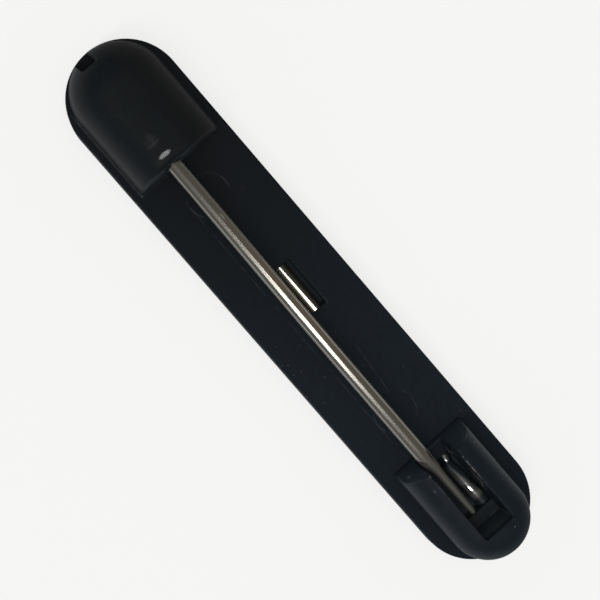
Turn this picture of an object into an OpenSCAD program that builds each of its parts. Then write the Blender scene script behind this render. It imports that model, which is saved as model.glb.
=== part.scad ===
// A moulded bar with a sprung steel pin, for the back of a brooch or badge.
// The bar lies flat along X: the hood that hides the spring is at -X, the catch at +X.
// The origin is the middle of the flat back, and +Z points to the side that carries the pin.

/* [Base] */
// Length of the base, end to end
base_l = 38; // [36:0.5:44]
// Width of the base, whose ends are half circles
base_w = 7; // [6.6:0.1:8]
// Thickness of the base
base_t = 1.5; // [1.4:0.05:1.8]

/* [Hood] */
// Length of the hood, from its inner face to its round end
hood_l = 8.14; // [7.9:0.02:9]
// Width of the hood at its foot
hood_w = 5.92; // [5.6:0.04:6.4]
// Height of the hood above the base
hood_h = 3.5; // [3.3:0.1:4.2]
// Radius of the shoulders along the sides and round the end
hood_shoulder = 2.3; // [1.8:0.1:2.5]
// Radius of the edge over the inner face
hood_edge = 0.35; // [0.1:0.05:0.5]
// How far the inner face leans back over its height
hood_lean = 0.16; // [0.16:0.02:0.3]
// Width of the gate notch in the round end
notch_w = 1; // [0.6:0.05:1.4]
// Depth of the gate notch
notch_l = 0.65; // [0.3:0.05:0.9]
// Sideways place of the notch's middle
notch_y = -0.55; // [-0.7:0.05:0.7]

/* [Catch] */
// Length of the catch block, from the foot of its inner face to its round end
catch_l = 7.87; // [7.4:0.01:8.6]
// Width of the catch block at its foot
catch_w = 5.1; // [4.6:0.05:5.6]
// Height of the catch block above the base
catch_h = 2.9; // [2.6:0.1:3.4]
// Radius of the catch block's shoulders
catch_shoulder = 1.55; // [1:0.05:1.8]
// Radius of the edge over the inner face
catch_edge = 0.12; // [0.05:0.01:0.3]
// How far the inner face leans back over its height
catch_lean = 0.73; // [0.3:0.01:0.85]
// Thickness of the plastic at the foot of the pocket's closed end
catch_wall = 2.01; // [1.6:0.01:2.4]
// Height above the base of the sill that the pin passes over
sill_h = 0.45; // [0.3:0.05:0.7]
// Thickness of the sill
sill_l = 0.98; // [0.6:0.02:1.3]
// Height of the pocket's floor above the flat back
pocket_floor = 0.6; // [0.4:0.05:0.8]

/* [Pin] */
// Thickness of the wire
wire_d = 0.9; // [0.7:0.05:0.95]
// Height of the pin's centreline above the flat back
pin_z = 3.2; // [3.1:0.05:3.3]
// Distance before the catch block at which the pin starts to narrow
pin_narrow_l = 0.11; // [0:0.01:1]
// Length of the shoulder between the full wire and the slim point
pin_shoulder_l = 1.29; // [0.8:0.01:1.6]
// Thickness of the pin after the shoulder
pin_slim_d = 0.46; // [0.4:0.02:0.6]
// Length of the slim point, without its rounded end
pin_point_l = 3.2; // [2:0.05:3.4]
// Thickness of the pin just before its rounded end
pin_tip_d = 0.24; // [0.16:0.02:0.36]

/* [Lower leg] */
// Height of the lower leg's centreline above the flat back
leg_z = 0.85; // [0.8:0.05:0.9]
// Angle at which the lower leg rises inside the catch, in degrees
leg_rise = 4.8; // [2:0.2:6]
// Sideways distance between the centrelines of the pin and the lower leg
leg_pitch = 0.96; // [0.96:0.01:1.1]

/* [Window] */
// Length of the window in the middle of the base
window_l = 3.44; // [2.5:0.02:5]
// Lengthwise place of the window's middle
window_x = -0.88; // [-2:0.01:2]
// Width of the window
window_w = 2.06; // [2.06:0.02:2.6]
// Sideways place of the window's middle
window_y = 0.08; // [-0.12:0.02:0.1]
// Height of the window's floor above the flat back
window_floor = 0.35; // [0.3:0.05:0.38]

/* [Hidden] */
$fn = 64;
cut = 0.1;

// Each block's top is arched across and trimmed level along the very top. Its sides lean in,
// its root is sunk into the base, and its round end stands just inside the base's.
hood_crown_r = 8;
catch_crown_r = 10;
top_trim = 0.02;
side_lean = 0.1;
block_root = 0.3;
end_inset = 0.04;

// The two wires lie side by side in one slot, whose sides clear them by slot_gap.
slot_gap = 0.1;
slot_mid = -0.12;
pin_y = slot_mid - leg_pitch / 2;
leg_y = slot_mid + leg_pitch / 2;
slot_w = leg_pitch + wire_d + 2 * slot_gap;

hood_x = -base_l / 2 + end_inset + hood_l;
catch_x = base_l / 2 - end_inset - catch_l;
sill_x = catch_x + sill_l;
pocket_end_x = catch_x + catch_l - catch_wall;
pin_narrow_x = catch_x - pin_narrow_l;

// The spring's turns run round a post across the hood.
coil_x = hood_x - 3.4;
coil_z = (pin_z + leg_z) / 2;
coil_r = (pin_z - leg_z) / 2;
coil_arc = 270;
chamber_clear = 0.07;
post_clear = 0.13;
chamber_r = coil_r + wire_d / 2 + chamber_clear;
post_r = coil_r - wire_d / 2 - post_clear;

// How far the pin opens, in degrees, before the mouth's roof stops it
open_angle = 12;

// The lower leg lies in a bed with a small gap, and its end is held past the pocket.
leg_bed_gap = 0.03;
leg_hold = 0.6;
knee_x = sill_x + 0.1;
knee_r = 6;

plastic = [0.10, 0.11, 0.13];
steel = [0.72, 0.71, 0.68];

// Outline from x = 0 out to a foot at x = reach: the side leans in by lean over the height, its
// top edge is an arc that touches both the side and the top, and a straight root goes below.
module leaning_outline(reach, height, lean, edge_r, root) {
    slope = atan(lean / height);
    arc_x = reach - (height - edge_r) * tan(slope) - edge_r / cos(slope);
    arc_z = height - edge_r;
    polygon([
        [0, -root],
        [reach, -root],
        [reach, 0],
        [arc_x + edge_r * cos(slope), arc_z + edge_r * sin(slope)],
        [arc_x, arc_z],
        [arc_x, height],
        [0, height]
    ]);
    translate([arc_x, arc_z]) circle(r = edge_r);
}

// Half of a block's cross-section, with a slightly crowned top.
module half_section(width, height, shoulder, crown_r) {
    intersection() {
        leaning_outline(width / 2, height, side_lean, shoulder, block_root);
        translate([0, height - crown_r]) circle(r = crown_r, $fn = 240);
        translate([0, -block_root]) square([width, height + block_root]);
    }
}

// A block with one flat inner face, whose foot is at x = 0, and one round end at x = length.
module round_ended_block(length, width, height, shoulder, crown_r, lean, edge_r) {
    round_x = length - width / 2;
    intersection() {
        union() {
            rotate([90, 0, 90]) linear_extrude(round_x) {
                half_section(width, height, shoulder, crown_r);
                mirror([1, 0]) half_section(width, height, shoulder, crown_r);
            }
            translate([round_x, 0, 0]) rotate([0, 0, -90])
                rotate_extrude(angle = 180) half_section(width, height, shoulder, crown_r);
        }
        translate([length + 1, width, 0]) rotate([90, 0, 0]) linear_extrude(2 * width)
            mirror([1, 0])
                leaning_outline(length + 1, height - top_trim, lean, edge_r, 2 * block_root);
    }
}

// A straight round rod that starts at the origin and runs along +X.
module rod(r, length) {
    rotate([0, 90, 0]) cylinder(r = r, h = length);
}

// Part of one turn of the spring, round an axis along Y. It starts at the angle given, where
// 0 points to the catch and 90 up, and passes the back of the hood.
module coil_turn(y, start) {
    translate([coil_x, y, coil_z]) rotate([90, 0, 0]) rotate([0, 0, start])
        rotate_extrude(angle = coil_arc) translate([coil_r, 0]) circle(d = wire_d);
}

// The lower leg, or the bed it lies in, which is wider and longer by the gap: straight through
// the base, then bent up a little inside the catch.
module leg_run(gap) {
    r = wire_d / 2 + gap;
    translate([coil_x, leg_y, leg_z]) rod(r, knee_x - coil_x);
    translate([knee_x, leg_y, leg_z + knee_r]) {
        rotate([90, 0, 0]) rotate([0, 0, -90])
            rotate_extrude(angle = leg_rise) translate([knee_r, 0]) circle(r = r);
        rotate([0, -leg_rise, 0]) translate([0, 0, -knee_r])
            rod(r, pocket_end_x + leg_hold + gap - knee_x - knee_r * sin(leg_rise));
    }
}

module base_plate() {
    end_r = base_w / 2;
    linear_extrude(base_t) {
        square([base_l - base_w, base_w], center = true);
        for (side = [-1, 1]) translate([side * (base_l / 2 - end_r), 0]) circle(r = end_r);
    }
}

module hood() {
    translate([hood_x, 0, base_t]) mirror([1, 0, 0])
        round_ended_block(
            hood_l, hood_w, hood_h, hood_shoulder, hood_crown_r, hood_lean, hood_edge
        );
}

module catch_block() {
    translate([catch_x, 0, base_t])
        round_ended_block(
            catch_l, catch_w, catch_h, catch_shoulder, catch_crown_r, catch_lean, catch_edge
        );
}

// A box between two lengthwise places and two heights, as wide as the wires' slot.
module slot_box(x0, x1, z0, z1) {
    translate([x0, slot_mid - slot_w / 2, z0]) cube([x1 - x0, slot_w, z1 - z0]);
}

module window() {
    translate([window_x - window_l / 2, window_y - window_w / 2, window_floor])
        cube([window_l, window_w, base_t]);
}

// The round chamber for the spring, with the post that its turns run on.
module spring_chamber() {
    difference() {
        translate([coil_x, slot_mid + slot_w / 2, coil_z]) rotate([90, 0, 0])
            cylinder(r = chamber_r, h = slot_w);
        translate([coil_x, slot_mid + slot_w, coil_z]) rotate([90, 0, 0])
            cylinder(r = post_r, h = 2 * slot_w);
    }
}

// The slot in the hood's inner face. Its roof is the upper side of the pin's own slot space
// when that is turned up round the coil by the opening angle.
module pin_mouth() {
    half = wire_d / 2 + slot_gap;
    reach = hood_x + cut - coil_x;
    roof_z = coil_z + (coil_r + half) / cos(open_angle);
    translate([coil_x, pin_y + half, 0]) rotate([90, 0, 0]) linear_extrude(2 * half)
        polygon([
            [0, pin_z - half],
            [reach, pin_z - half],
            [reach, roof_z + reach * tan(open_angle)],
            [0, roof_z]
        ]);
}

module gate_notch() {
    translate([-base_l / 2 - cut, notch_y - notch_w / 2, base_t])
        cube([notch_l + cut, notch_w, hood_h + cut]);
}

module moulded_bar() {
    color(plastic) difference() {
        union() {
            base_plate();
            hood();
            catch_block();
        }
        gate_notch();
        spring_chamber();
        pin_mouth();
        leg_run(leg_bed_gap);
        window();
        slot_box(sill_x, pocket_end_x, pocket_floor, base_t + catch_h + cut);
        slot_box(catch_x - cut, sill_x + cut, base_t + sill_h, base_t + catch_h + cut);
    }
}

// The pin: one turn of the spring, a straight stem, a shoulder and a slim point.
module pin_stem() {
    slim_x = pin_narrow_x + pin_shoulder_l;
    color(steel) {
        coil_turn(pin_y, 90);
        translate([coil_x, pin_y, pin_z]) rod(wire_d / 2, pin_narrow_x - coil_x);
        translate([pin_narrow_x, pin_y, pin_z]) rotate([0, 90, 0])
            cylinder(d1 = wire_d, d2 = pin_slim_d, h = pin_shoulder_l);
        translate([slim_x, pin_y, pin_z]) rotate([0, 90, 0])
            cylinder(d1 = pin_slim_d, d2 = pin_tip_d, h = pin_point_l);
        translate([slim_x + pin_point_l, pin_y, pin_z]) sphere(d = pin_tip_d);
    }
}

// The other end of the same wire, moulded into the base.
module anchor_leg() {
    color(steel) {
        coil_turn(leg_y, 0);
        leg_run(0);
    }
}

moulded_bar();
pin_stem();
anchor_leg();
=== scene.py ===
import math

import bmesh
import bpy
import numpy as np
from mathutils import Matrix, Vector


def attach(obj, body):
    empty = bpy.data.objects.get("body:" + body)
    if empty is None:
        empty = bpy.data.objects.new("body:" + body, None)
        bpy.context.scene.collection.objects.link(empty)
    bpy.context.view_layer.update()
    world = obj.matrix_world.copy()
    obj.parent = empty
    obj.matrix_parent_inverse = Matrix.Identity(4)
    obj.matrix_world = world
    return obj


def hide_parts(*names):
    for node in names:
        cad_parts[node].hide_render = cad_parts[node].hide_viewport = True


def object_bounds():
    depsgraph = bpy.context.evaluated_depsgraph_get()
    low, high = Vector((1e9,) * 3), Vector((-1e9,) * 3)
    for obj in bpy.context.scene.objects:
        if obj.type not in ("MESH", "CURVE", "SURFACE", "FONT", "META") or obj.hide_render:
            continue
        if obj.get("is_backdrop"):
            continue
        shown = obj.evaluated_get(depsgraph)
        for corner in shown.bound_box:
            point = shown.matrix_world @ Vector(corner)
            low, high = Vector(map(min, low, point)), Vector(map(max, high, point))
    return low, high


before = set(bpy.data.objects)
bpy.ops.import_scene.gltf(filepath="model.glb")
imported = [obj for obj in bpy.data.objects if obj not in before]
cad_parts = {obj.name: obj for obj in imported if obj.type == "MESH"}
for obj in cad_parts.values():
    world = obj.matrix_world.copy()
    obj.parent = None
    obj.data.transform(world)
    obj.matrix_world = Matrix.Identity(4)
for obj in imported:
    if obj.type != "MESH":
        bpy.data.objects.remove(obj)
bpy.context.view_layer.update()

# ---- The moulded base ----
# The flat bar with two half-round ends: one injection moulding of near-black plastic.
# It is made as a closed surface of a stadium outline carried over a small edge profile.

MM = 0.001


def skin(name, *grids, unit=1):
    """One mesh object from grids of points in millimetres, times the unit.

    Each quad joins four neighbours in the rows and columns of its grid. Points of all grids
    that coincide are joined, so seams and poles close, and a quad with one shrunk side
    becomes a triangle.
    """
    points, quads, start = [], [], 0
    for g in grids:
        rows, cols = g.shape[:2]
        i = start + np.arange(rows * cols).reshape(rows, cols)
        quads.append(np.stack([i[:-1, :-1], i[:-1, 1:], i[1:, 1:], i[1:, :-1]], -1).reshape(-1, 4))
        points.append(g.reshape(-1, 3))
        start += rows * cols
    points, quads = np.concatenate(points), np.concatenate(quads)
    _, first, place = np.unique(np.round(points, 5), axis=0, return_index=True, return_inverse=True)
    points, quads = points[first], place.reshape(-1)[quads]
    shrunk = quads == np.roll(quads, -1, axis=1)
    whole = quads[shrunk.sum(1) == 0]
    part = quads[shrunk.sum(1) == 1]
    thirds = part[~shrunk[shrunk.sum(1) == 1]].reshape(-1, 3)
    loops = np.concatenate([whole.ravel(), thirds.ravel()])
    sizes = np.concatenate([np.full(len(whole), 4), np.full(len(thirds), 3)])
    mesh = bpy.data.meshes.new(name)
    mesh.vertices.add(len(points))
    mesh.vertices.foreach_set("co", (points * unit).ravel())
    mesh.loops.add(len(loops))
    mesh.loops.foreach_set("vertex_index", loops)
    mesh.polygons.add(len(sizes))
    mesh.polygons.foreach_set("loop_start", np.concatenate([[0], np.cumsum(sizes)[:-1]]))
    mesh.update(calc_edges=True)
    mesh.validate()
    outward = bmesh.new()
    outward.from_mesh(mesh)
    bmesh.ops.recalc_face_normals(outward, faces=outward.faces)
    outward.to_mesh(mesh)
    outward.free()
    obj = bpy.data.objects.new(name, mesh)
    bpy.context.scene.collection.objects.link(obj)
    return obj


def arc(cx, cy, r, a0, a1, n):
    """n points on a circle of radius r round (cx, cy), from angle a0 to a1 in degrees."""
    a = np.radians(np.linspace(a0, a1, n))
    return np.stack([cx + r * np.cos(a), cy + r * np.sin(a)], -1)


def stadium_slab(name, length, width, profile):
    """Closed slab: half profile points (distance from the spine, height), carried round a spine.

    Point = spine point + distance times the outward direction of the perimeter angle, at the
    profile's height. The direction is +Y or -Y along the sides and turns half a circle at
    each end.
    """
    spine = length / 2 - width / 2
    ends = np.linspace(0, math.pi, 65)
    side = np.linspace(-1, 1, 41)[1:-1]
    up, down = np.full(len(side), math.pi / 2), np.full(len(side), 1.5 * math.pi)
    angle = np.concatenate([ends - math.pi / 2, up, ends + math.pi / 2, down, [-math.pi / 2]])
    right, left = np.full(len(ends), spine), np.full(len(ends), -spine)
    centre = np.concatenate([right, -spine * side, left, spine * side, [spine]])
    w, z = profile[:, 0][:, None], profile[:, 1][:, None]
    x = centre + w * np.cos(angle)
    y = w * np.sin(angle)
    return skin(name, np.stack([x, y, z + 0 * x], -1))


BASE_L, BASE_W, BASE_T = 38.0, 7.0, 1.5
LOW_R, TOP_R = 0.12, 0.14
slab_profile = np.concatenate([
    [[0, 0]],
    arc(BASE_W / 2 - LOW_R, LOW_R, LOW_R, -90, 0, 5),
    arc(BASE_W / 2 - TOP_R, BASE_T - TOP_R, TOP_R, 0, 90, 7),
    [[0, BASE_T]],
])
base = stadium_slab("bar_moulding", BASE_L, BASE_W, slab_profile)

# ---- The hood over the spring ----
# One moulding with the base: a loaf-shaped block with one round end and a nearly upright
# inner face. Its top is arched, and it sinks a little towards the inner face.


def loaf(name, *, foot_x, sign, reach, half, height, shoulder, crown, side_lean, face_lean, edge, flare,
         sink, shift):
    """Closed block: a half section carried along the bar and round one end.

    The section is a leaning side, a shoulder arc and a flat crown arc, tangent to each other.
    It runs from the inner face, whose foot is at foot_x, towards sign times X, to the centre
    of the round end, turns half a circle there and comes back. The inner face is the same
    section shrunk towards its middle, row by row, with a quarter circle for its edge, and it
    leans by face_lean over the height. The section above the foot lies shift to one side, and
    the top is lowered by sink(x, y) times the cube of the share of the height.
    """
    root = 1.2  # height of the block's underside, inside the base
    shift_height = 1.2  # height above the foot where the whole shift is reached
    top = BASE_T + height
    w0 = half - side_lean
    cy = w0 - shoulder
    cz = top - crown + math.sqrt((crown - shoulder) ** 2 - cy ** 2)
    turn = math.degrees(math.atan2(cz - (top - crown), cy))
    skirt = arc(half + flare, BASE_T + flare + 0.02, flare, 268, 180, 6)
    straight = np.linspace([half, BASE_T + flare + 0.1], [w0, cz], 7)
    section = np.concatenate([
        [[0, root], [half * 0.5, root], [half, root]],
        skirt,
        straight[:-1],
        arc(cy, cz, shoulder, 0, turn, 22),
        arc(0, top - crown, crown, turn, 90, 12)[1:],
    ])
    w, z = section[:, 0][:, None], section[:, 1][:, None]

    def lean_at(level):
        """The face's lean at a height: face_lean times the share of the height."""
        return face_lean * np.clip((level - BASE_T) / height, -0.1, 1)

    lean = lean_at(z)
    along = np.linspace(0, 1, 25) ** 1.3
    end = np.linspace(0, math.pi, 73)
    extra = np.clip(w - half, 0, None)
    run = lean + edge + (reach - half - lean - edge) * along
    round_w = w - extra * np.abs(np.sin(end))
    e = np.concatenate([run, reach - half + round_w * np.sin(end), run[:, ::-1]], 1)
    y = np.concatenate([w + 0 * run, round_w * np.cos(end), -w + 0 * run], 1)
    zz = z + 0 * e
    loop = np.concatenate([
        np.stack([w[:, 0], z[:, 0], lean[:, 0]], -1),
        np.stack([-w[::-1, 0], z[::-1, 0], lean[::-1, 0]], -1),
    ])
    mid = (root + top) / 2
    quarter = np.radians(np.linspace(0, 90, 6))
    inset = np.concatenate([edge * (1 - np.cos(quarter)), [half * 0.5, half]])
    out = np.concatenate([edge * (1 - np.sin(quarter)), [0, 0]])
    scale = (1 - inset / half)[:, None]
    face_y = loop[:, 0] * scale
    face_z = mid + (loop[:, 1] - mid) * scale
    face_e = lean_at(face_z) + out[:, None]
    face_e[0] = loop[:, 2] + edge
    grids = []
    for ge, gy, gz in ((e, y, zz), (face_e, face_y, face_z)):
        gx = foot_x + sign * ge
        gy = gy - shift * np.clip((gz - BASE_T) / shift_height, 0, 1)
        gz = gz - sink(gx, gy) * np.clip((gz - BASE_T) / height, 0, 1) ** 3
        grids.append(np.stack([gx, gy, gz], -1))
    return skin(name, *grids)


def hood_sink(x, y):
    """How far the hood's top lies below its crown: a sink mark over the pin's slot, which is
    a parabola along the bar times a bell across it, and a shallow wave from the mould."""
    near = np.clip((x + 12.45) / 1.65, 0, 1)
    sunk = 0.17 * near ** 2 * np.exp(-((y + 0.72) / 0.9) ** 2)
    return sunk + 0.006 * (1 - np.cos(2.1 * (x + 11)) * np.cos(1.7 * y))


hood = loaf("hood", foot_x=-10.82, sign=-1, reach=8.14, half=2.96, height=3.48, shoulder=2.3, crown=8.0,
            side_lean=0.20, face_lean=0.16, edge=0.3, flare=0.09, sink=hood_sink, shift=0.08)

# ---- The catch block ----
# One moulding with the base: a lower block with a round end and a leaning inner face. A sill
# and an open pocket are left in it for the pin's point.

CATCH_X, CATCH_SLOPE = 11.09, 0.2517
catch = loaf("catch", foot_x=CATCH_X, sign=1, reach=7.87, half=2.55, height=2.9, shoulder=1.55, crown=10.0,
             side_lean=0.05, face_lean=0.73, edge=0.12, flare=0.07, sink=lambda x, y: 0 * x, shift=0.08)


def well(name, outline, rows, shear=None):
    """Closed cutter: an outline carried up a profile of rows (outset, height).

    Each row is the outline moved outwards by the row's outset along its own normals. The
    first and last rows shrink to one point. The shear is added to x, from x and the height.
    """
    ahead = np.roll(outline, -1, 0) - np.roll(outline, 1, 0)
    normal = np.stack([ahead[:, 1], -ahead[:, 0]], -1)
    normal /= np.linalg.norm(normal, axis=1)[:, None]
    middle = outline.mean(0)
    layers = [np.column_stack([np.tile(middle, (len(outline), 1)), np.full(len(outline), rows[0][1])])]
    for outset, z in rows:
        layers.append(np.column_stack([outline + normal * outset, np.full(len(outline), z)]))
    layers.append(np.column_stack([np.tile(middle, (len(outline), 1)), np.full(len(outline), rows[-1][1])]))
    grid = np.stack(layers)
    grid = np.concatenate([grid, grid[:, :1]], 1)
    if shear:
        grid[..., 0] += shear(grid[..., 0], grid[..., 2])
    return skin(name, grid)


def rounded_box(x0, x1, y0, y1, r, n=7):
    """Counter-clockwise outline of a rectangle with corner radius r."""
    corners = ((x1 - r, y1 - r, 0), (x0 + r, y1 - r, 90), (x0 + r, y0 + r, 180), (x1 - r, y0 + r, 270))
    return np.concatenate([arc(cx, cy, r, a, a + 90, n) for cx, cy, a in corners])


def lip(z, r, clear):
    """Rows of a well's flared mouth: a wall up to r below z, an arc outwards, then clear above."""
    bend = arc(r, z - r, r, 180, 108, 6)
    return [tuple(p) for p in bend] + [(bend[-1, 0] + 0.1 * clear, z + clear)]


# The pocket between its two sides: its outline flares where it opens in the inner face.
Y0, Y1 = -1.15, 0.91
trumpet = np.concatenate([
    arc(16.85, Y1 - 0.1, 0.1, 0, 90, 5),
    np.linspace([16.6, Y1], [11.35, Y1], 14),
    arc(11.21, Y1 + 0.08, 0.08, -90, -160, 5),
    [[10.2, Y1 + 0.4], [10.2, Y0 - 0.4]],
    arc(11.21, Y0 - 0.08, 0.08, 160, 90, 5),
    np.linspace([11.35, Y0], [16.6, Y0], 14),
    arc(16.85, Y0 + 0.1, 0.1, 270, 360, 5),
])


def pocket_shear(x, z):
    """The mouth follows the block's inner face: the face's slope times the height, fading over
    1.4 mm. The far wall leans in by 0.11 times the depth below z 4.2, over its last 0.5 mm."""
    mouth_shift = CATCH_SLOPE * (np.minimum(z, 4.4) - BASE_T) * np.clip((13.0 - x) / 1.4, 0, 1)
    return mouth_shift - 0.11 * np.clip(4.2 - z, 0, 3) * np.clip((x - 16.2) / 0.5, 0, 1)


pocket = well("pocket", trumpet, [(-0.05, 1.95), (0, 2.0)] + lip(4.36, 0.14, 0.6), pocket_shear)
deep = well("deep", rounded_box(12.07, 16.0, Y0 + 0.02, Y1 - 0.02, 0.08), [(-0.04, 0.96), (0, 1.0), (0, 2.1)])

# The window in the base, and the gate notch in the hood's round end with its sloping far wall.
window = well("window", rounded_box(-2.51, 0.80, -0.95, 1.11, 0.06),
              [(-0.05, 0.35), (0, 0.4)] + lip(BASE_T, 0.07, 0.4))
notch = well("notch", rounded_box(-19.6, -18.16, -1.1, -0.05, 0.12), [(0, 1.52), (0, 2.0), (0.08, 5.6)],
             lambda x, z: np.clip(z - 2.0, 0, 2.0) * 0.14 * np.clip(x + 19.4, 0, 1))

# The mouth that the pin comes out of and turns up in, and behind it the spring's chamber and
# post, round the axis that the pin turns about.
COIL_X, COIL_Z, CHAMBER_R, POST_R = -14.22, 2.025, 1.69, 0.595
MOUTH = np.array([[-15.6, 1.9], [-10.5, 2.65], [-10.5, 4.62], [-14.22, 3.79], [-15.6, 3.4]])


def in_xz(points, y):
    """Path of (x, z) points at that y."""
    return np.column_stack([points[:, 0], np.full(len(points), y), points[:, 1]])


def slab_cut(name, outline, y0, y1):
    """Closed cutter: an outline in X and Z carried across from y0 to y1, with flat ends."""
    ring = np.concatenate([outline, outline[:1]])
    middle = np.tile(outline.mean(0), (len(ring), 1))
    layers = [(middle, y0), (ring, y0), (ring, y1), (middle, y1)]
    return skin(name, np.stack([in_xz(points, y) for points, y in layers]))


mouth = slab_cut("mouth", MOUTH, -1.15, -0.05)
chamber = slab_cut("chamber", arc(COIL_X, COIL_Z, CHAMBER_R, 0, 360, 49)[:-1], -1.149, 0.909)
post = slab_cut("post", arc(COIL_X, COIL_Z, POST_R, 0, 360, 33)[:-1], -1.3, 1.05)


def combine(target, tool, how):
    """Applies one boolean to the target's mesh and removes the tool."""
    step = target.modifiers.new(how, "BOOLEAN")
    step.operation = how
    step.solver = "MANIFOLD"
    step.object = tool
    bpy.context.view_layer.update()
    done = bpy.data.meshes.new_from_object(target.evaluated_get(bpy.context.evaluated_depsgraph_get()))
    target.modifiers.clear()
    old, target.data = target.data, done
    bpy.data.meshes.remove(old)
    bpy.data.objects.remove(tool)


for tool in (hood, catch):
    combine(base, tool, "UNION")
for tool in (pocket, deep, window, notch, mouth, chamber):
    combine(base, tool, "DIFFERENCE")
combine(base, post, "UNION")
base.data.transform(Matrix.Scale(MM, 4))


def finish_edges(obj, degrees):
    """Smooth faces, sharp only where faces meet at more than that angle, and flat faces kept flat."""
    mesh = obj.data
    mesh.shade_smooth()
    mesh.set_sharp_from_angle(angle=math.radians(degrees))
    weigh = obj.modifiers.new("weighted", "WEIGHTED_NORMAL")
    weigh.keep_sharp = True
    weigh.weight = 80


finish_edges(base, 35)

# ---- The plastic ----
# Near-black, slightly blue moulding compound with a satin finish, a little smoother on the
# blocks, with the small marks that moulding and wear have left, and with painted light,
# shade and highlights in its colour.


class Flow:
    """A shader socket that is used in sums like a number and makes other nodes in its tree."""

    def __init__(self, tree, socket=None):
        self.tree, self.socket = tree, socket

    def make(self, kind, settings, sockets, out=0):
        """A node of that kind: its settings first, then its sockets by name or number."""
        node = self.tree.nodes.new(kind)
        for name, value in settings.items():
            setattr(node, name, value)
        for name, value in sockets.items():
            if isinstance(value, Flow):
                self.tree.links.new(value.socket, node.inputs[name])
            else:
                node.inputs[name].default_value = value
        return Flow(self.tree, node.outputs[out])

    def maths(self, how, *values):
        """A Math node of that kind over the values."""
        return self.make("ShaderNodeMath", {"operation": how}, dict(enumerate(values)))

    def __add__(self, other):
        return self.maths("ADD", self, other)

    def __sub__(self, other):
        return self.maths("SUBTRACT", self, other)

    def __rsub__(self, other):
        return self.maths("SUBTRACT", other, self)

    def __mul__(self, other):
        return self.maths("MULTIPLY", self, other)

    def __truediv__(self, other):
        return self.maths("DIVIDE", self, other)

    def __pow__(self, other):
        return self.maths("POWER", self, other)

    __radd__, __rmul__ = __add__, __mul__

    def __abs__(self):
        return self.maths("ABSOLUTE", self)

    def step(self, low, high):
        """0 below low, 1 above high and smooth between, or the other way round if low is higher."""
        if low > high:
            return 1 - self.step(high, low)
        return self.make("ShaderNodeMapRange", {"interpolation_type": "SMOOTHSTEP"},
                         {"Value": self, "From Min": low, "From Max": high})

    def between(self, a, b, c, d):
        """1 from b to c, 0 below a and above d, and smooth between."""
        return self.step(a, b) * self.step(d, c)

    def stretch(self, x, y, z):
        """The vector times (x, y, z)."""
        return self.make("ShaderNodeVectorMath", {"operation": "MULTIPLY"}, {0: self, 1: (x, y, z)})

    def noise(self, scale, detail=2.0, rough=0.5):
        """Smooth noise from 0 to 1 at this vector."""
        return self.make("ShaderNodeTexNoise", {},
                         {"Vector": self, "Scale": scale, "Detail": detail, "Roughness": rough})

    def axes(self):
        """The vector's three numbers."""
        parts = self.make("ShaderNodeSeparateXYZ", {}, {0: self}).socket.node.outputs
        return [Flow(self.tree, p) for p in parts]

    def mix(self, a, b):
        """Colour a where this is 0 and b where it is 1."""
        return self.make("ShaderNodeMix", {"data_type": "RGBA"}, {0: self, 6: a, 7: b}, 2)


def new_material(name):
    """A material with an empty Principled shader: its Principled node and object coordinates in mm."""
    material = bpy.data.materials.new(name)
    material.use_nodes = True
    tree = material.node_tree
    shader = tree.nodes["Principled BSDF"]
    where = Flow(tree).make("ShaderNodeTexCoord", {}, {}, 3).stretch(1000, 1000, 1000)
    return material, shader, where


def feed(shader, name, flow):
    """Links a flow to the shader's socket of that name."""
    shader.id_data.links.new(flow.socket, shader.inputs[name])


plastic, shader, at = new_material("bar_plastic")
x, y, z = at.axes()
on_block = z.step(1.52, 1.9)
on_hood = on_block * x.step(-10.0, -11.0)
cloud = at.noise(0.45, 3)
grain = at.noise(16, 3, 0.6)
fine = at.noise(45, 2)
# Painted reflection: a greyer, warmer tone on the hood's +Y side, ragged by the cloud noise.
warm_side_sheen = on_hood * (y + (cloud - 0.5) * 3.0).step(0.3, 1.8)


def oval(cx, cy, rx, ry):
    """Squared distance from the middle of an ellipse on the bar's plan, which is 1 on its line."""
    return ((x - cx) / rx) ** 2 + ((y - cy) / ry) ** 2


def spot(cx, cy, rx, ry, rag=0.0):
    """1 in the middle of an ellipse on the bar's plan and 0 outside it, with a ragged rim."""
    return (oval(cx, cy, rx, ry) + (grain - 0.5) * rag).step(1.3, 0.3)


def ring(cx, cy, r, width):
    """1 on a circle on the bar's plan."""
    return abs(((x - cx) ** 2 + (y - cy) ** 2) ** 0.5 - r).step(width, 0.0)


def line(x0, y0, x1, y1, width, fade=1.0):
    """1 on a thin straight mark from one point of the plan to another, fading at its ends."""
    off = y - y0 - (x - x0) * ((y1 - y0) / (x1 - x0))
    return abs(off).step(width, 0.0) * x.between(x0, x0 + fade, x1 - fade, x1)


# Marks: a polished spot, made lighter as a painted highlight, and painted highlights in streaks
# and a glow on the hood; mould rings and lines on the base's upper face; dust; and painted
# highlights as a pale speckled rim along the base and a pale line round the hood's foot.
# Painted highlight: the polished spot is also made lighter in the base colour.
polish_and_glint = on_hood * spot(-11.58, -0.68, 0.15, 0.40, 1.5)
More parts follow.
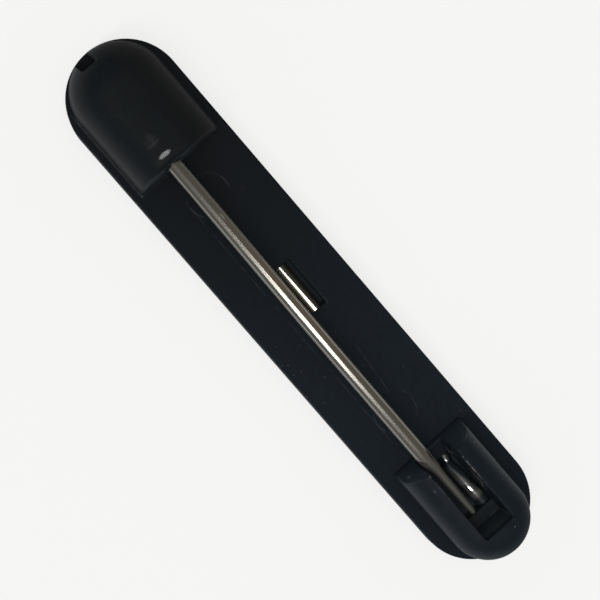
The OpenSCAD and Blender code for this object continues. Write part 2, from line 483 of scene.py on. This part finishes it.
# Painted highlights on the hood: streaks, and a soft glow round and beside the polished spot.
glint_strokes = spot(-12.41, -0.78, 0.12, 0.48, 2.5) + spot(-12.80, -0.70, 0.36, 0.16, 3.0) * 0.7
glint_halo = spot(-12.6, -0.8, 0.42, 0.45, 1.5) + spot(-11.45, -0.95, 0.25, 0.50, 1.5)
hood_glints = on_hood * (glint_strokes * grain.step(0.30, 0.7) + glint_halo * 0.2)
upper_face = z.between(1.40, 1.48, 1.50, 1.56)
rings = ring(-8.37, -0.05, 1.30, 0.07) * ((x + 8.37) * (y + 0.05)).step(0.9, 0.3)
rings = rings + ring(8.36, -0.05, 1.29, 0.07)
rings = rings * upper_face * (0.25 + abs(y + 0.05).step(0.8, 1.15) * 0.75)
marks = (line(3.6, 0.78, 7.6, 0.40, 0.07) + line(-8.5, -1.32, 11.2, -1.38, 0.07) * 0.6) * upper_face
specks = at.make("ShaderNodeTexVoronoi", {}, {"Vector": at, "Scale": 2.3}, 0)
zone = x.between(-1.5, 0.3, 3.4, 6.5) * y.step(-1.5, -2.0) * 0.5
zone = zone + 0.5 + x.step(0.0, 4.0) * y.step(1.0, 1.6) * 0.12
dust = specks.step(0.15, 0.06) * (at.noise(3.0, 2) * zone).step(0.30, 0.36) * z.step(1.4, 1.5)
# Painted highlight: a pale speckled line along the base's -Y top edge.
rim = z.between(1.30, 1.42, 1.49, 1.56) * y.step(-3.40, -3.46) * grain.step(0.50, 0.62)
# Painted highlight: a pale line in the fillet round the hood's foot, and a fainter one at its inner face's
# foot.
foot = y.between(-3.12, -3.05, -2.96, -2.90) * x.between(-17.0, -16.2, -10.8, -10.6)
foot = foot + x.between(-10.86, -10.80, -10.72, -10.66) * y.between(-3.1, -3.0, -1.2, -0.8) * 0.25
foot = foot * z.between(1.49, 1.50, 1.54, 1.62)

# Tints: cloudy body colour; painted light that makes the base lighter towards the catch and
# towards -Y, in blotches; blotches on the hood; and a painted bluish sheen on the catch block's
# +Y side and round end.
colour = (cloud * 0.6 + grain * 0.4).mix((0.0020, 0.0075, 0.0150, 1), (0.0052, 0.0115, 0.0210, 1))
blotch = at.noise(2.6, 4, 0.62)
# Painted light: the base made lighter towards the catch and towards -Y, in blotches.
painted_light = x.step(-12.0, 8.0) * (0.2 + blotch * 1.4) * (1 - on_hood) + y.step(-1.0, -3.5) * 0.15
colour = painted_light.mix(colour, (0.0150, 0.0300, 0.0500, 1))
colour = (on_hood * blotch.step(0.42, 0.66) * 0.35).mix(colour, (0.0130, 0.0260, 0.0300, 1))
# Painted sheen: the catch block's +Y side and round end made lighter and bluer.
painted_sheen = on_block * (1 - on_hood) * (y.step(0.8, 1.4) + x.step(16.9, 17.5))
colour = (painted_sheen * 0.12).mix(colour, (0.030, 0.052, 0.080, 1))

# Painted light on both inner faces, the sill, and the insides of the pocket and the window,
# where they lie in shade, then a painted warm reflection on the hood's +Y side, and the lines
# and rings.
hood_face = x.between(-11.02, -10.96, -10.80, -10.74) * z.step(1.6, 1.8)
off_face = x - CATCH_X - (z - BASE_T) * CATCH_SLOPE
catch_face = off_face.between(-0.10, -0.06, 0.06, 0.10) * z.between(1.6, 1.7, 4.0, 4.3)
across = abs(y + 0.12)  # distance from the pocket's middle
sill = x.between(11.0, 11.1, 12.0, 12.06) * across.step(1.10, 1.02) * z.step(2.3, 2.1) * on_block
colour = sill.mix(colour, (0.0160, 0.0260, 0.0500, 1))
floor_in = z.step(1.9, 1.8) * (0.50 + x.step(15.5, 15.7) * 0.4)
pocket_in = x.between(12.02, 12.12, 17.0, 17.2) * across.step(1.14, 1.0) * z.step(4.3, 3.6)
pocket_in = pocket_in * (0.22 - x.step(15.9, 16.5) * 0.11 + x.step(16.64, 16.70) * 1.05 + floor_in)
window_in = x.between(-2.75, -2.65, 0.9, 1.0) * abs(y - 0.08).step(1.15, 1.05)
window_in = window_in * z.between(0.30, 0.36, 1.40, 1.47)
window_in = window_in * (0.75 + y.step(1.0, 1.1) * 0.4 + x.step(0.70, 0.80))
# Painted light: the inner faces, the sill and the insides of the pocket and window made lighter where they
# lie in shade.
painted_fill_light = (hood_face + catch_face) * (0.25 + on_hood * 0.3) + pocket_in + window_in
colour = painted_fill_light.mix(colour, (0.120, 0.150, 0.180, 1))
colour = (warm_side_sheen * 0.7).mix(colour, (0.0165, 0.0160, 0.0180, 1))
colour = ((marks + rings) * at.noise(1.6, 2).step(0.30, 0.65)).mix(colour, (0.085, 0.105, 0.130, 1))

# Painted highlights along the top edges of the pocket and the window, broken up as on rubbed
# edges; the dust, with the painted highlights of the rim, the hood's foot and the hood from
# above; and small nicks in the catch block with painted highlights beside them.
pocket_rim = z.step(4.15, 4.25)
# Painted highlights on the pocket's and the window's top edges, broken up as on rubbed edges.
rubbed_edge_glints = across.between(1.02, 1.05, 1.11, 1.15) * x.between(12.6, 13.0, 16.9, 17.0)
rubbed_edge_glints = rubbed_edge_glints + x.between(16.83, 16.87, 16.95, 17.0) * across.step(1.10, 1.05) * 0.7
rubbed_edge_glints = rubbed_edge_glints * pocket_rim * (0.25 + x.step(15.5, 13.2) * y.step(0, 0.1) * 0.6)
window_lip_glint = y.between(1.06, 1.10, 1.15, 1.20) * x.between(-2.6, -2.5, 0.85, 0.95)
window_lip_glint = window_lip_glint * z.between(1.38, 1.45, 1.51, 1.56) * (0.35 + x.step(-0.3, 0.2) * 0.35)
rubbed_edge_glints = (rubbed_edge_glints + window_lip_glint) * at.noise(3.5, 2).step(0.25, 0.6)
colour = rubbed_edge_glints.mix(colour, (0.110, 0.122, 0.135, 1))
# Real dust, with painted highlights: the rim along the base, the hood's foot and the hood's streaks and glow.
pale = dust + rim * 0.6 + foot * grain.step(0.3, 0.7) + hood_glints * 0.5
colour = pale.mix(colour, (0.150, 0.157, 0.165, 1))
# Painted highlights on the pocket's rim, broken up as small nicks.
nicks_and_glints = across.between(1.03, 1.05, 1.09, 1.13) * x.between(12.25, 12.4, 13.3, 14.1) * pocket_rim
nicks_and_glints = nicks_and_glints * at.noise(5.0, 2).step(0.38, 0.52) * (0.35 + y.step(0, 0.1) * 0.65)
# Painted highlight: a pale line at the foot of the pocket's far wall.
wall_foot_glint = x.between(16.60, 16.64, 16.68, 16.72) * y.between(0.05, 0.2, 0.6, 0.75)
nicks_and_glints = nicks_and_glints + wall_foot_glint * z.between(1.95, 2.0, 2.1, 2.3) * 0.6
nicks_and_glints = nicks_and_glints + on_block * (spot(11.96, -1.20, 0.09, 0.05, 0.8) * 0.6
                            + spot(12.79, -1.56, 0.12, 0.05, 0.8) * 0.35
                            + spot(11.46, -2.06, 0.06, 0.08, 0.8) * 0.3
                            + spot(17.45, 0.62, 0.05, 0.05) * 0.6)
# Painted highlights: a corner of the pocket's mouth, and the polished spot made lighter.
corner_glint = spot(12.44, 0.86, 0.10, 0.12) * z.step(1.95, 1.85)
colour = (corner_glint + nicks_and_glints + polish_and_glint * 0.22).mix(colour, (0.45, 0.46, 0.48, 1))
feed(shader, "Base Color", colour)
shader.inputs["IOR"].default_value = 1.47
feed(shader, "Coat Weight", polish_and_glint)
shader.inputs["Coat Roughness"].default_value = 0.12
rough = 0.62 - on_block * 0.12 + on_hood * 0.08 + sill * 0.1 - polish_and_glint * 0.34
feed(shader, "Roughness", rough + (grain - 0.5) * 0.06 + (cloud - 0.5) * 0.06)
relief = grain * 0.5 + fine * 0.35 + cloud * 2.0 + rings * 1.5 + marks * 1.0 + dust * 3.0
bump = at.make("ShaderNodeBump", {}, {"Strength": 0.25, "Distance": 0.00002, "Height": relief})
feed(shader, "Normal", bump)
base.data.materials.clear()
base.data.materials.append(plastic)
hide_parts("moulded_bar")
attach(base, "bar")

# ---- The pin ----
# Drawn steel wire, 0.9 mm thick, with a shoulder and a slim point. Its spring turn is in the
# hood, and it is carried along its path as a round section.


def wire(name, path, radius, sides=28):
    """Closed tube: a circle of the row's radius, square to a path that stays in X and Z.

    Point = path point + radius times (cos of the angle along the path's normal in X and Z,
    sin of the angle along Y). One more row of radius 0 at each end closes it.
    """
    ahead = np.gradient(path, axis=0)
    ahead[:, 1] = 0
    ahead /= np.linalg.norm(ahead, axis=1)[:, None]
    normal = np.stack([-ahead[:, 2], 0 * ahead[:, 0], ahead[:, 0]], -1)
    a = np.linspace(0, 2 * math.pi, sides + 1)
    across = np.array([0.0, 1.0, 0.0])
    ring = normal[:, None] * np.cos(a)[None, :, None] + across * np.sin(a)[None, :, None]
    ring[:, -1] = ring[:, 0]
    ring = np.concatenate([ring[:1], ring, ring[-1:]])
    path = np.concatenate([path[:1], path, path[-1:]])
    radius = np.concatenate([[0], radius, [0]])
    return skin(name, path[:, None] + radius[:, None, None] * ring, unit=MM)


def ease(t):
    """0 below 0, 1 above 1, and between them t squared times (3 - 2 t)."""
    t = np.clip(t, 0, 1)
    return t ** 2 * (3 - 2 * t)


COIL_R, WIRE_R, PIN_Y, PIN_Z, PIN_BOW = 1.175, 0.45, -0.676, 3.2, 0.145
SHOULDER_X, NECK_X, POINT_X, POINT_R = 10.98, 12.27, 15.44, 0.16
turn = arc(COIL_X, COIL_Z, COIL_R, 360, 90, 50)
stem_x = np.concatenate([
    np.linspace(COIL_X, SHOULDER_X, 60)[1:],
    np.linspace(SHOULDER_X, NECK_X, 12)[1:],
    np.linspace(NECK_X, POINT_X, 14)[1:],
    POINT_X + 0.15 * np.sin(np.radians([30, 60, 80, 90])),
])
stem = np.column_stack([stem_x, np.full(len(stem_x), PIN_Z)])
stem_r = np.interp(stem_x, [SHOULDER_X, 11.3, 11.7, 12.15, 12.5, 13.7, 15.2, POINT_X],
                   [WIRE_R, 0.44, 0.385, 0.31, 0.268, 0.238, 0.19, POINT_R])
stem_r[-4:] = POINT_R * np.cos(np.radians([30, 60, 80, 88]))

# Seen from above, the pin is bowed, its point turns a little to +Y, and its spring turn is
# moved clear of the leg's.
path = in_xz(np.concatenate([turn, stem]), PIN_Y)
path[:, 1] += PIN_BOW * ease((6 - path[:, 0]) / 19) + 0.10 * ease((path[:, 0] - 11) / 1.3)
path[:, 1] -= 0.035 * np.clip((-11.3 - path[:, 0]) / 1.2, 0, 1)
radius = np.concatenate([np.full(len(turn), WIRE_R), stem_r])
pin = wire("pin_wire", path, radius)

# ---- The lower leg ----
# The other end of the same wire: it leaves the spring, lies in the base, shows in the window
# and rises a little in the pocket.

LEG_Y, LEG_Z, BEND_X = 0.36, COIL_Z - COIL_R, 12.1
leg_turn = arc(COIL_X, COIL_Z, COIL_R, 0, 270, 50)
run_x = np.linspace(COIL_X, BEND_X, 50)[1:]
run = np.column_stack([run_x, np.full(len(run_x), LEG_Z)])
tail_x = np.linspace(BEND_X, 17.5, 72)
slope = 5.0 * (1 + np.tanh((tail_x - 12.74) / 0.16)) - 4.9 * (1 + np.tanh((tail_x - 14.92) / 0.55))
rise = np.tan(np.radians(slope)) * (tail_x[1] - tail_x[0])
tail_z = LEG_Z + np.concatenate([[0], np.cumsum((rise[1:] + rise[:-1]) / 2)])
tail = np.column_stack([tail_x, tail_z])[1:]
leg_path = in_xz(np.concatenate([leg_turn, run, tail]), LEG_Y)
leg_x = leg_path[:, 0]
leg_path[:, 1] += (0.07 * np.exp(-((leg_x - 12.50) / 0.3) ** 2) - 0.09 * np.exp(-((leg_x - 13.1) / 0.4) ** 2)
                   + 0.04 * (1 + np.tanh((leg_x - 15.2) / 0.4)))
leg = wire("lower_leg", leg_path, np.full(len(leg_path), WIRE_R), 72)

# A narrow flat on the wire where the window is, as a mould's core pin would press it: points
# over a slightly tilted plane are lowered onto it.
points = np.empty(len(leg.data.vertices) * 3)
leg.data.vertices.foreach_get("co", points)
points = points.reshape(-1, 3) / MM
flat = LEG_Z + WIRE_R - 0.0022 - 0.002 * (points[:, 0] + 2.6) + (points[:, 1] - LEG_Y) * 0.045
pressed = (points[:, 0] > -3.6) & (points[:, 0] < 1.8) & (points[:, 2] > flat)
points[pressed, 2] = flat[pressed]
leg.data.vertices.foreach_set("co", (points * MM).ravel())
leg.data.update()

# ---- The steel ----
# Drawn stainless wire with long fine streaks from the die and a slightly warm tint. Its point,
# its side lines, and the leg in the pocket and beside the window's strip are duller, and its
# colour holds painted light and shade: pale side lines, a warm reflection and shade on the pin,
# and shade, glow and highlights on the leg.

steel, shader, at = new_material("pin_wire")
streak = at.stretch(0.12, 11, 11).noise(1.0, 2, 0.5)
mottle = at.stretch(1, 3, 3).noise(1.2, 3)
bright = mottle.mix((0.60, 0.585, 0.54, 1), (0.50, 0.48, 0.43, 1))
x, y, z = at.axes()
low = z.step(1.9, 1.8)
dark_leg = x.step(11.6, 12.2) * low
point = x.step(11.0, 12.0) * z.step(2.2, 2.4)

# The pin: a painted warm reflection makes its +Y half darker, and warmer in the middle. Painted
# shade turns both sides grey and a painted highlight ends each in a pale line, painted shade
# makes all of it greyer near the hood, and it has one small nick painted as a bright highlight.
off = y - PIN_Y - x.step(6.0, -13.0) * PIN_BOW
# Painted reflection: a warm tint on the pin's +Y half.
warm_reflection = x.between(-9.0, -1.0, 1.0, 8.0).mix((0.47, 0.445, 0.38, 1), (0.56, 0.475, 0.385, 1))
bright = off.step(-0.10, 0.02).mix(bright, warm_reflection)
# Painted shade: both flanks of the pin turn grey.
bright = ((off.step(0.30, 0.38) + off.step(-0.30, -0.38)) * 0.8).mix(bright, (0.36, 0.35, 0.32, 1))
# Painted highlight: a pale line along each edge of the pin.
edge = (off.step(0.36, 0.42) + off.step(-0.38, -0.44) * 0.5) * z.step(2.2, 2.4)
bright = edge.mix(bright, (0.85, 0.82, 0.76, 1))
# Painted shade: the pin made greyer near the hood.
bright = (x.step(-4.0, -11.0) * 0.35).mix(bright, (0.35, 0.34, 0.30, 1))
# A small nick, painted as a bright highlight.
nick_glint = ((x + 6.95) ** 2 * 9 + (y + 0.41) ** 2 * 300 + mottle).step(1.5, 0.8)
bright = nick_glint.mix(bright, (0.95, 0.93, 0.88, 1))

# The leg in the window: a bright strip between flanks darkened by painted shade, and duller
# outer edges that catch a painted glow.
shaded_flank = (y - x * 0.022).step(0.39, 0.48) * 0.70 + y.step(0.26, 0.20)
shade = (y.step(0.50, 0.60) + y.step(0.20, 0.12)) * low * (1 - dark_leg)
leg_colour = shaded_flank.mix((0.62, 0.60, 0.54, 1), (0.075, 0.065, 0.040, 1))
leg_colour = shade.mix(leg_colour, (0.12, 0.11, 0.085, 1))

# The leg in the pocket: painted shade on its sides, with a painted glow along its top and two
# painted highlights.
glint = x.step(13.00, 12.80) + x.between(14.2, 14.5, 15.0, 15.3)
slip = y - 0.15 - (x - 13.14) * 0.118
glow = (slip * slip / (0.13 + (x - 13.1) * 0.10) ** 2).step(1.7, 0.3) * x.between(12.95, 13.5, 15.2, 15.65)
glow = glow + oval(12.50, 0.43, 0.26, 0.16).step(1.3, 0.5)
hot = oval(14.70, 0.36, 0.34, 0.17).step(1.5, 0.2) + oval(12.50, 0.45, 0.22, 0.13).step(1.5, 0.2)
lit = (x.step(13.4, 14.4) + glint).mix((0.27, 0.28, 0.27, 1), (0.62, 0.62, 0.60, 1))
sunk_colour = hot.mix(glow.mix((0.10, 0.125, 0.145, 1), lit), (0.95, 0.94, 0.90, 1))

bright = point.mix(low.mix(bright, leg_colour), (0.34, 0.335, 0.30, 1))
feed(shader, "Base Color", dark_leg.mix(bright, sunk_colour))
side_line = edge * (1 - point)
metal = 1.0 - point * 0.75 - side_line * 0.4 - shade * 0.6
feed(shader, "Metallic", metal - dark_leg * (0.75 - glint * 0.30 - hot * 0.40))
rough = 0.14 + streak * 0.02 + (mottle - 0.5) * 0.02 + point * 0.32 + side_line * 0.25
feed(shader, "Roughness", rough - low * 0.02 - dark_leg * (glint * 0.25 - 0.22))
bump = at.make("ShaderNodeBump", {}, {"Strength": 0.012, "Distance": 0.00001, "Height": streak})
feed(shader, "Normal", bump)
for obj, node, body in ((pin, "pin_stem", "pin"), (leg, "anchor_leg", "bar")):
    obj.data.materials.append(steel)
    obj.data.shade_smooth()
    obj.data.set_sharp_from_angle(angle=math.radians(50))
    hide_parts(node)
    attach(obj, body)

# ---- Floor, light and camera ----
# A pale floor that glows, plain white where seen straight on but dimmer in the light it gives
# and in reflections, and darker there in patches round the bar; one long soft strip lamp above,
# a dim even surround, and the camera that the outline of the photo gives.

floor = bpy.data.meshes.new("floor")
floor.from_pydata([(-2, -2, 0), (2, -2, 0), (2, 2, 0), (-2, 2, 0)], [], [(0, 1, 2, 3)])
floor = bpy.data.objects.new("floor", floor)
bpy.context.scene.collection.objects.link(floor)
pale, shader, at = new_material("floor_paint")
shader.inputs["Base Color"].default_value = (0.80, 0.80, 0.80, 1)
shader.inputs["Roughness"].default_value = 0.7
seen = at.make("ShaderNodeLightPath", {}, {}, 0)
x, y, z = at.axes()
# Painted light: the floor's glow, white where seen straight on, 0.44 elsewhere and 0.06 in patches towards +Y
# and -X of the bar and beyond the catch's end.
dim = y.step(-2, 4) * x.step(4, -4) + y.step(-6, 0) * x.step(18, 24)
feed(shader, "Emission Color", seen.mix(dim.mix((0.44, 0.44, 0.44, 1), (0.06, 0.06, 0.06, 1)), (1, 1, 1, 1)))
shader.inputs["Emission Strength"].default_value = 0.73
floor.data.materials.append(pale)
floor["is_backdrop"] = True

world = bpy.data.worlds.new("surround")
bpy.context.scene.world = world
world.use_nodes = True
world.node_tree.nodes["Background"].inputs["Color"].default_value = (0.150, 0.148, 0.138, 1)


def panel(name, place, width, length, strength):
    """A rectangular lamp that faces the bar: its width lies along X and its length across."""
    lamp = bpy.data.lights.new(name, "AREA")
    lamp.shape = "RECTANGLE"
    lamp.size, lamp.size_y = width, length
    lamp.energy = strength
    obj = bpy.data.objects.new(name, lamp)
    back = Vector(place).normalized()
    side = Vector((1, 0, 0))
    side = (side - back * side.dot(back)).normalized()
    obj.matrix_world = Matrix((side, back.cross(side), back)).transposed().to_4x4()
    obj.location = place
    bpy.context.scene.collection.objects.link(obj)


panel("strip", (0.068, -0.180, 0.568), 0.045, 0.523, 0.354)

camera = bpy.data.cameras.new("camera")
camera.lens, camera.sensor_width = 83.1, 36
camera.clip_start, camera.clip_end = 0.002, 20
eye = bpy.data.objects.new("camera", camera)
ahead = Vector((0.0939, 0.0810, -1)).normalized()
along = (Vector((1, 0, 0)) - ahead * ahead.x).normalized()
across = -ahead.cross(along)
turn = math.radians(49.2)
right = along * math.cos(turn) + across * math.sin(turn)
up = across * math.cos(turn) - along * math.sin(turn)
eye.matrix_world = Matrix((right, up, -ahead)).transposed().to_4x4()
eye.location = Vector((-7.810, -6.486, 81.5)) * MM
bpy.context.scene.collection.objects.link(eye)
bpy.context.scene.camera = eye
bpy.context.scene.view_settings.view_transform = "Standard"

low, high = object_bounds()
